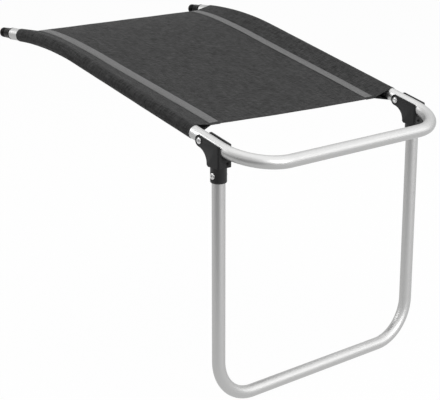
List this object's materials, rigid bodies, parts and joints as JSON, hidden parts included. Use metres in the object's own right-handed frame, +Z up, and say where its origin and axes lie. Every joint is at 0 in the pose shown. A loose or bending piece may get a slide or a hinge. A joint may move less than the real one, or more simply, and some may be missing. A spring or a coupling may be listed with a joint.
{
  "type": "folding leg rest",
  "caption": "Folding leg rest for a camping chair: a fabric sling on a bent tube frame with plug ends, on a hinged U-shaped tube leg.",
  "frame": {"origin": "centre of the overall box in X and Y, on the floor under the leg's bar", "axes": "+X across to the right arm seen from the front bar, +Y towards the chair, +Z up"},
  "size_m": [0.4896, 0.7109, 0.5649],
  "materials": {
    "anodised_tube": "satin anodised aluminium tube",
    "sling_mesh": "woven coated mesh fabric, dark grey",
    "seam_band": "woven webbing, mid grey",
    "plug_plastic": "black moulded plastic with a slight sheen",
    "bracket_plastic": "dark grey moulded plastic, fine grain",
    "rivet_steel": "zinc plated steel",
    "spacer_nylon": "natural nylon"
  },
  "bodies": {
    "frame": {"seat_frame": "anodised_tube", "sling": "sling_mesh", "seam_band_left": "seam_band", "seam_band_right": "seam_band", "end_plug_left": "plug_plastic", "end_plug_right": "plug_plastic", "pivot_rivet_left": "rivet_steel", "pivot_rivet_right": "rivet_steel", "pivot_washer_left": "rivet_steel", "pivot_washer_right": "rivet_steel", "pivot_spacer_left": "spacer_nylon", "pivot_spacer_right": "spacer_nylon"},
    "leg": {"leg_frame": "anodised_tube", "hinge_bracket_left": "bracket_plastic", "hinge_bracket_right": "bracket_plastic", "socket_rivet_left": "rivet_steel", "socket_rivet_right": "rivet_steel", "socket_washer_left": "rivet_steel", "socket_washer_right": "rivet_steel"}
  },
  "joints": [
    {"name": "leg_fold", "type": "hinge", "parent": "frame", "child": "leg", "pos_m": [0, -0.2323, 0.454], "axis": [1, 0, 0], "range_deg": [0, 102]}
  ]
}
